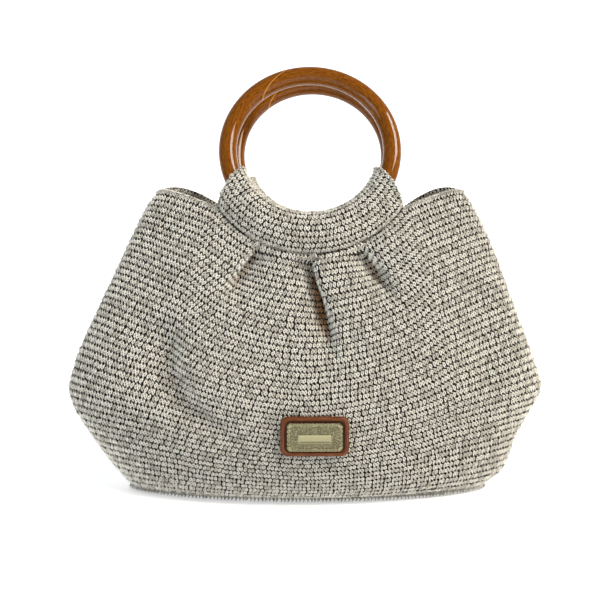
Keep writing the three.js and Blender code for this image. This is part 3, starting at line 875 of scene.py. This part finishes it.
def sleeve(panel, share, turn, inset):
    """A point of a sleeve. share -1 to 1 runs along its arc, and turn goes round the wood."""
    share, turn = np.broadcast_arrays(share, turn)
    tube_radius = SLEEVE_TUBE - inset
    down = np.cos(turn)
    radius = RING_RADIUS + down * (tube_radius + np.where(down > 0, SLEEVE_SKIRT, 0))
    half = mix(panel["sleeve_half"], SEAM_HALF, (radius - SLEEVE_TOP) / (SLEEVE_BOTTOM - SLEEVE_TOP))
    place = share * half
    narrows = 1 + SKIRT_SHARPNESS * np.clip(down, 0, 1)
    full = np.sign(np.sin(turn)) * np.abs(np.sin(turn)) ** narrows
    flat = np.stack([radius * np.sin(place), tube_radius * full, -radius * np.cos(place)], -1)
    return lean_back(flat) + ring_centre(panel)


def sleeve_shell(name, panel):
    turns = full_turn(SLEEVE_SIDES)
    grid = np.meshgrid(np.linspace(-1, 1, SLEEVE_STEPS), turns, indexing="ij")
    outer = sleeve(panel, *grid, GROUND_INSET)
    bore = sleeve(panel, *grid, SLEEVE_TUBE - BORE_RADIUS)
    loops = np.concatenate([outer, bore[::-1]])
    return put(name, PAINTED_SHADE_GROUND, loops.reshape(-1, 3), strip_faces(len(loops), len(turns), True, True))


sleeve_shells = [sleeve_shell("front_sleeve_shell", FRONT), sleeve_shell("back_sleeve_shell", BACK)]


# %% Sleeve stitches
SLEEVE_STITCH_HIGH = 4.4
END_INSETS = (2.0, 6.4)  # the rounds on a sleeve's end lie this far in from its outline
END_SHARE = 1 - 0.006
END_STEP, END_LOOK = 0.02, 0.5
WOOD_FREE = 0.8  # no stitch on the end comes nearer than this to the bore


def sleeve_line(panel):
    """The sleeve as a surface for rounds: place runs along its arc, and a share goes round the wood."""
    return lambda place, share, inset: sleeve(panel, place, 2 * np.pi * (1 - np.asarray(share, float)), inset)


def sleeve_stitches(panel, seed):
    around, high = spaced(
        lambda fine: sleeve(panel, 0 * fine, fine, STITCH_DEPTH), 0, 2 * np.pi, SLEEVE_STITCH_HIGH
    )
    made = stitch_rounds(sleeve_line(panel), 1 - around / (2 * np.pi), -1, 1, seed=seed)
    made["sizes"][:, 1] = high
    return {key: made[key] for key in ("points", "along", "up", "sizes")}


def sleeve_end(panel, side, turn, inset):
    """A point on a sleeve's end face, inset from its outline towards the wood's middle."""
    rim = sleeve(panel, side * END_SHARE + 0 * turn, turn, 0.0)
    middle = sleeve(panel, side * END_SHARE + 0 * turn, 0 * turn + math.pi / 2, SLEEVE_TUBE)
    return rim + unit(middle - rim) * inset


def sleeve_end_stitches(panel, side):
    """Stitches over a sleeve's end, from its outline in to the wood."""
    made = []
    for inset in END_INSETS:
        turn, wide = spaced(lambda fine: sleeve_end(panel, side, fine, inset), 0, 2 * np.pi)
        skirt = np.where(np.cos(turn) > 0, SLEEVE_SKIRT * np.cos(turn), 0)
        turn = turn[SLEEVE_TUBE + skirt - inset > BORE_RADIUS + WOOD_FREE]
        before, after = (sleeve_end(panel, side, turn + step, inset) for step in (-END_STEP, END_STEP))
        out, into = (sleeve_end(panel, side, turn, inset + look) for look in (-END_LOOK, END_LOOK))
        made.append({
            "points": sleeve_end(panel, side, turn, inset), "along": (after - before) * side,
            "up": into - out, "sizes": np.tile([wide, SLEEVE_STITCH_HIGH], (len(turn), 1)),
        })
    return together(made)


sleeves = []
for name, panel, seed in (("front", FRONT, 11), ("back", BACK, 12)):
    parts = [sleeve_stitches(panel, seed)] + [sleeve_end_stitches(panel, side) for side in (-1, 1)]
    sleeves.append(work_stitches(f"{name}_sleeve_crochet", together(parts), seed=seed))


# %% [markdown]
# ## Wooden rings
#
# Each ring is turned from glued wood and dipped in lacquer: amber brown under a clear, hard gloss.

# %% Lacquered wood
JOINTS = table(  # the glued joints: turn from the top and slant in degrees, half width in millimetres
    ("turn", "slant", "width", "colour", "strength"),
    # Painted highlight: the scarf joint's light tan line stands for light caught on its small step.
    (-25, 16, 0.5, "#c98a45", 0.75),
    (24, 0, 0.25, "#2e1502", 0.45),
    (68.5, 0, 0.25, "#2e1502", 0.35),
)
JOINT_BLUR = 1.6
GRAIN = (90, 34, 1)  # how often the grain changes along the ring and round its wood


def lacquered_wood():
    """Stained wood under clear lacquer: an amber-brown body with sharp, white reflections on top, dark lines
    at its joints, and a painted highlight along the scarf joint.
    """
    material, tree, surface = new_material(
        "lacquered wood", Roughness=0.5, Specular_IOR_Level=0.0,
        Coat_Weight=1.0, Coat_Roughness=0.06, Coat_IOR=1.31,
    )
    ring, along_ring, round_wood = uv_place(tree)
    stretched = add(tree, "ShaderNodeMapping", {"Vector": ring, "Scale": GRAIN}).outputs[0]
    grain = noise(tree, stretched, 1.0, 6)
    colour = ramp(tree, grain, (0.3, "#552b05"), (0.5, "#6f3d05"), (0.7, "#804b08"))
    cosine = maths(tree, "COSINE", maths(tree, "MULTIPLY", round_wood, 2 * math.pi))
    for joint in JOINTS:
        slant = maths(tree, "MULTIPLY_ADD", cosine, -joint["slant"] / 360, -joint["turn"] / 360)
        apart = maths(tree, "ADD", along_ring, slant)
        far = maths(tree, "ABSOLUTE", maths(tree, "WRAP", apart, 0.5, -0.5))
        reach = joint["width"] / (2 * math.pi * RING_RADIUS)
        spans = {"From Min": reach, "From Max": reach * JOINT_BLUR, "To Min": joint["strength"], "To Max": 0}
        line = add(tree, "ShaderNodeMapRange", {"Value": far, **spans}).outputs[0]
        colour = blend(tree, line, colour, linear(joint["colour"]))
    connect(tree, surface, colour)
    return material


WOOD = lacquered_wood()


def wooden_ring(name, panel):
    """A ring whose UV map runs along it and round its wood."""
    steps, sides = 192, 36
    turn, around = np.meshgrid(full_turn(steps), full_turn(sides), indexing="ij")
    radius = RING_RADIUS + RING_WOOD / 2 * np.cos(around)
    flat = np.stack([radius * np.sin(turn), RING_WOOD / 2 * np.sin(around), radius * np.cos(turn)], -1)
    points = (lean_back(flat) + ring_centre(panel)).reshape(-1, 3)
    uv = np.array(grid_uv(np.arange(sides + 1) / sides, np.arange(steps + 1) / steps))[:, ::-1]
    return put(name, WOOD, points, strip_faces(steps, sides, True, True), uv)


rings = [wooden_ring("front_wooden_ring", FRONT), wooden_ring("back_wooden_ring", BACK)]


# %% [markdown]
# ## Leather patch and metal plate
#
# The patch is a small tray of moulded leather with a soft, raised rim. In it lies a cast plate with
# a border of scrolls, a stippled field and a plain raised bar. Both are built flat, from outlines
# that step inwards and up, and then laid where their solids are. A plate with a picture of its
# relief on it would look flat as soon as the light moved.

# %% Flat pieces on their seat
PATCH_WIDE, PATCH_HIGH, PATCH_CORNER = 49.5, 28.6, 5.5
PLATE_WIDE, PLATE_HIGH, PLATE_CORNER = 39.4, 19.8, 3.0
BAR_WIDE, BAR_HIGH, BAR_CORNER = 23.8, 6.4, 0.5
CORNER_POINTS = 13


def seat(node):
    """The middle of a node's underside and its three directions, found from the solid itself."""
    solid = bpy.data.objects[node]
    points = np.array([tuple(solid.matrix_world @ v.co) for v in solid.data.vertices]) / MM
    largest = max(solid.data.polygons, key=lambda face: face.area)
    facing = np.array(solid.matrix_world.to_3x3() @ largest.normal)
    facing = unit(facing * -np.sign(facing[1]))
    side = unit(np.cross([0, 0, 1], facing))
    axes = np.stack([side, np.cross(facing, side), facing])
    low, high = (points @ axes.T).min(0), (points @ axes.T).max(0)
    return np.array([(low[0] + high[0]) / 2, (low[1] + high[1]) / 2, low[2]]) @ axes, axes


def rounded(wide, high, corner, count):
    """Points round a rectangle with round corners, counter-clockwise from its right side's middle."""
    flat = np.array([wide / 2 - corner, high / 2 - corner])
    quarter = np.linspace(0, np.pi / 2, CORNER_POINTS)
    arc = corner * np.column_stack([np.cos(quarter), np.sin(quarter)])
    turned = [arc, arc[:, ::-1] * [-1, 1], -arc, arc[:, ::-1] * [1, -1]]
    signs = [(1, 1), (-1, 1), (-1, -1), (1, -1)]
    corners = np.concatenate([part + flat * sign for part, sign in zip(turned, signs)])
    line = np.concatenate([[[wide / 2, 0]], corners, [[wide / 2, 0]]])
    length = walked(line)
    at = np.linspace(0, length[-1], count, endpoint=False)
    return np.column_stack([np.interp(at, length, line[:, k]) for k in (0, 1)])


def stepped(outline_at, steps):
    """A closed piece whose outline steps inwards and up. Returns points, faces and corner UVs in mm."""
    outlines = [outline_at(inset) for inset, _ in steps]
    count, last = len(outlines[0]), (len(steps) - 1) * len(outlines[0])
    loops = [np.column_stack([line, np.full(count, up)]) for line, (_, up) in zip(outlines, steps)]
    middle = [[0, 0, steps[0][1]], [0, 0, steps[-1][1]]]
    faces = strip_faces(len(steps), count, closed_columns=True)
    run, climb = walked(np.concatenate([loops[0], loops[0][:1]])), walked(np.array(steps))
    uv = grid_uv(run, climb)
    for i in range(count):
        following = (i + 1) % count
        faces += [(len(loops) * count, following, i), (len(loops) * count + 1, last + i, last + following)]
        uv += [(run[i], 0)] * 3 + [(run[i], climb[-1])] * 3
    return np.concatenate([*loops, middle]), faces, uv


def lay(name, node, material, points, faces, uv):
    """Puts a piece that was built flat where a node's solid is."""
    origin, axes = seat(node)
    return put(name, material, origin + np.asarray(points) @ axes, faces, uv)


# %% Leather patch
PATCH_STEPS = [  # inset from the patch's edge and height above its underside
    (0.5, 0.0), (0.1, 0.4), (0.0, 1.0), (0.1, 1.9), (0.45, 2.7), (1.0, 3.2), (1.7, 3.4), (2.4, 3.25),
    (2.95, 2.8), (3.25, 2.3), (3.5, 2.05), (4.2, 2.0), (6.0, 2.0), (9.0, 2.0),
]
PAINTED_RECESS_SHADE = {"From Min": 5.2, "From Max": 7.2}  # where the painted shade inside the rim starts and where it is full, measured up over the rim


def moulded_leather():
    """Chestnut leather with fine creases: the rim keeps the plain hide colour, and the sunken middle is
    painted darker as shade.
    """
    material, tree, surface = new_material(
        "moulded chestnut leather", Roughness=0.55, Specular_IOR_Level=0.3
    )
    edge, _, over_rim = uv_place(tree)
    along = add(tree, "ShaderNodeMapping", {"Vector": edge, "Scale": (0.12, 1.1, 1)}).outputs[0]
    creases = noise(tree, along, 1.0, 4)
    hide = ramp(tree, creases, (0.3, "#452007"), (0.55, "#602f08"), (0.75, "#78451a"))
    # Painted shade: the hollow inside the rim is darkened towards a deep brown.
    recess_shade = add(tree, "ShaderNodeMapRange", {"Value": over_rim, **PAINTED_RECESS_SHADE}).outputs[0]
    pores = relief(tree, cells(tree, object_place(tree), 0.9), 0.35, 0.15)
    creased = relief(tree, creases, 0.8, 0.5, under=pores)
    connect(tree, surface, blend(tree, recess_shade, hide, linear("#3d1e08")), creased)
    return material


def patch_outline(inset):
    return rounded(PATCH_WIDE - 2 * inset, PATCH_HIGH - 2 * inset, PATCH_CORNER - 0.45 * inset, 120)


patch = lay("moulded_patch", "leather_patch", moulded_leather(), *stepped(patch_outline, PATCH_STEPS))


# %% Metal plate
PLATE_STEPS = [
    (0.35, 0.0), (0.05, 0.25), (0.0, 0.8), (0.2, 1.2), (0.5, 1.3), (0.9, 1.1), (1.3, 1.0), (3.0, 1.0),
    (6.0, 1.05),
]
BAR_STEPS = [(0.0, 0.8), (0.0, 1.35), (0.15, 1.5), (0.4, 1.55), (0.6, 1.5), (0.75, 1.45), (2.0, 1.45)]
BAR_DROP = 1.2  # the bar lies this far below the plate's middle
PLATE_OVER = 0.8  # the plate's waves stand this far over its size
WAVES, WAVE_DEPTH = 30, 0.02
SCROLL_APART = 2.9
BORDER_INSET = 1.1
BORDER_ENDS = 5  # a side's scrolls leave this much free, for the fans in its corners
FANS = table(  # in the four corners, and at the middle of each long side
    ("way", "inset", "count", "length"),
    *[((x, y), 1.6, 5, 2.9) for x in (-1, 1) for y in (-1, 1)],
    ((0, 1), 1.2, 3, 2.3),
    ((0, -1), 1.2, 3, 2.0),
)
SCROLL_TURNS, SCROLL_RADII, SCROLL_POINTS = (-0.6, 1.35), (1.25, 0.45), 9
SCROLL_UP, SCROLL_ARCH = 1.15, 0.25  # its height at the ends, and how much higher its middle is
SCROLL_THICK, PETAL_THICK, RELIEF_SIDES = 0.42, 0.5, 6
PETAL_SPREAD = 0.9  # a fan opens this far to each side, in radians
PETAL_RISE = ((0.1, 0.1), (0.55, 0.55), (1.0, 0.15))  # share of its length, and height


def cast_metal(name, roughness, pitted):
    """Pale antique gold. The field is stippled, with a dull green-grey film in its hollows."""
    material, tree, surface = new_material(name, Metallic=1.0, Roughness=roughness)
    where = object_place(tree)
    both = maths(tree, "ADD", cells(tree, where, 0.75), noise(tree, where, 1 / (1.1 * MM), 3))
    dull, bright = ("#6c6850", "#b4ad8c") if pitted else ("#a49e7c", "#aea886")
    colour = ramp(tree, both, (0.6, bright), (1.25, dull))
    connect(tree, surface, colour, relief(tree, both, 0.6 if pitted else 0.08, 0.2, invert=True))
    return material


def scroll(middle, out, hand):
    """A small C-scroll, thicker at its head, that curls to the left or the right of a direction."""
    turns = np.linspace(*SCROLL_TURNS, SCROLL_POINTS)[:, None] * np.pi
    radius = np.linspace(*SCROLL_RADII, SCROLL_POINTS)[:, None]
    side = np.array([-out[1], out[0]]) * hand
    flat = middle + (np.cos(turns) * out + np.sin(turns) * side) * radius
    up = SCROLL_UP + SCROLL_ARCH * np.sin(np.linspace(0, np.pi, SCROLL_POINTS))
    return tube(np.column_stack([flat, up]), SCROLL_THICK, RELIEF_SIDES)


def petals(middle, out, count, length):
    """A fan of short strands, as in a shell."""
    made = []
    for angle in np.linspace(-PETAL_SPREAD, PETAL_SPREAD, count):
        c, s = math.cos(angle), math.sin(angle)
        way = np.array([out[0] * c - out[1] * s, out[0] * s + out[1] * c])
        route = [(*(middle + way * length * share), 1.0 + up) for share, up in PETAL_RISE]
        made.append(tube(route, PETAL_THICK, RELIEF_SIDES, ends=0.5))
    return made


def border():
    """Scrolls along the four sides, and the fans between them."""
    made = []
    wide, high = PLATE_WIDE / 2 - BORDER_INSET, PLATE_HIGH / 2 - BORDER_INSET
    for side in ((0, 1), (1, 0), (0, -1), (-1, 0)):
        half, other = (wide, high) if side[1] else (high, wide)
        free = 2 * half - BORDER_ENDS
        count = 2 * round(free / SCROLL_APART / 2)
        for at in (np.arange(count) + 0.5 - count / 2) * free / count:
            middle = np.array(side) * other + np.array([side[1], -side[0]]) * at
            made.append(scroll(middle, side, 1 if at < 0 else -1))
    for fan in FANS:
        way = np.array(fan["way"], float)
        middle = way * [wide - fan["inset"], high - fan["inset"]]
        made += petals(middle, unit(way), fan["count"], fan["length"])
    return joined(made)


def plate_outline(inset):
    wide, high = PLATE_WIDE + PLATE_OVER - 2 * inset, PLATE_HIGH + PLATE_OVER - 2 * inset
    outline = rounded(wide, high, PLATE_CORNER - 0.3 * inset, 240)
    turn = np.linspace(0, 2 * np.pi * WAVES, len(outline), endpoint=False)
    return outline * (1 - WAVE_DEPTH * (1 - np.cos(turn)))[:, None] if inset < 1 else outline


def bar_outline(inset):
    return rounded(BAR_WIDE - 2 * inset, BAR_HIGH - 2 * inset, BAR_CORNER - 0.1 * inset, 80)


smooth_gold = cast_metal("smooth pale gold", 0.3, False)
pitted_gold = cast_metal("pitted pale gold", 0.4, True)
plate = lay("cast_plate", "metal_plate", pitted_gold, *stepped(plate_outline, PLATE_STEPS))
scrolls = lay("plate_scrolls", "metal_plate", smooth_gold, *border())
bar_points, *bar_rest = stepped(bar_outline, BAR_STEPS)
bar = lay("plate_bar", "metal_plate", smooth_gold, bar_points - [0, BAR_DROP, 0], *bar_rest)


# %% [markdown]
# ## The stage
#
# A pale floor that runs up into a pale backdrop, a large soft lamp from the upper right, and a
# weaker, cooler one from the left.

# %% Floor, lamps and camera
def stage():
    """A floor whose back edge bends up into a wall."""
    material, _, _ = new_material(
        "pale paper backdrop", Roughness=0.9, Base_Color=linear("#f6f6f7"),
        Emission_Color=(1, 1, 1, 1), Emission_Strength=0.4,
    )
    front, bend, radius, top, half_wide = -3000, 900, 500, 3500, 4000
    turns = np.linspace(0.1, math.pi / 2, 12)
    curve = [(bend + radius * math.sin(turn), radius - radius * math.cos(turn)) for turn in turns]
    profile = [(front, 0), (bend, 0), *curve, (bend + radius, top)]
    points = [(x, y, z) for y, z in profile for x in (-half_wide, half_wide)]
    return put("backdrop", material, points, strip_faces(len(profile), 2))


def aimed(name, data, place, aim):
    """An object at a place in metres, looking at another."""
    made = new_object(name, data)
    made.location = place
    made.rotation_euler = (Vector(aim) - Vector(place)).to_track_quat("-Z", "Y").to_euler()
    return made


def lamp(name, place, aim, size, power, colour):
    light = bpy.data.lights.new(name, "AREA")
    light.shape, light.size, light.energy, light.color = "SQUARE", size, power, colour
    aimed(name, light, place, aim)


backdrop = stage()
lamp("key", (1.15, -0.72, 1.45), (0, 0, 0.15), 0.8, 47, (1.0, 0.95, 0.87))
lamp("fill", (-1.3, -0.9, 0.25), (-0.05, 0, 0.08), 0.7, 9, (0.66, 0.83, 1.0))
world = bpy.data.worlds.new("studio")
world.use_nodes = True
world.node_tree.nodes["Background"].inputs["Color"].default_value = (1, 1, 1, 1)
world.node_tree.nodes["Background"].inputs["Strength"].default_value = 0.32
bpy.context.scene.world = world

CAMERA_AT = Vector((-3.8, -557.33, 204.65)) * MM
CAMERA_AIM = Vector((-3.8, 0, 150)) * MM
camera = bpy.data.cameras.new("camera")
camera.sensor_width = 36
camera.lens = 43.08
bpy.context.scene.camera = aimed("camera", camera, CAMERA_AT, CAMERA_AIM)
bpy.context.scene.view_settings.view_transform = "Standard"


# %% Join the pieces to the frame
bpy.data.objects.remove(stitch)
for piece in [bag_shell, *crochet, *sleeve_shells, *sleeves]:
    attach(piece, "bag")
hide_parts("base", "front_panel", "back_panel")
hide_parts("front_sleeve")
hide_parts("back_sleeve")
for piece, body, node in zip(rings, ("front_handle", "back_handle"), ("front_ring", "back_ring")):
    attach(piece, body)
    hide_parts(node)
for piece, node, slot in ((patch, "leather_patch", "brown_leather"), (plate, "metal_plate", "cast_metal")):
    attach(piece, "bag")
    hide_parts(node)
for piece in (scrolls, bar):
    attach(piece, "bag")
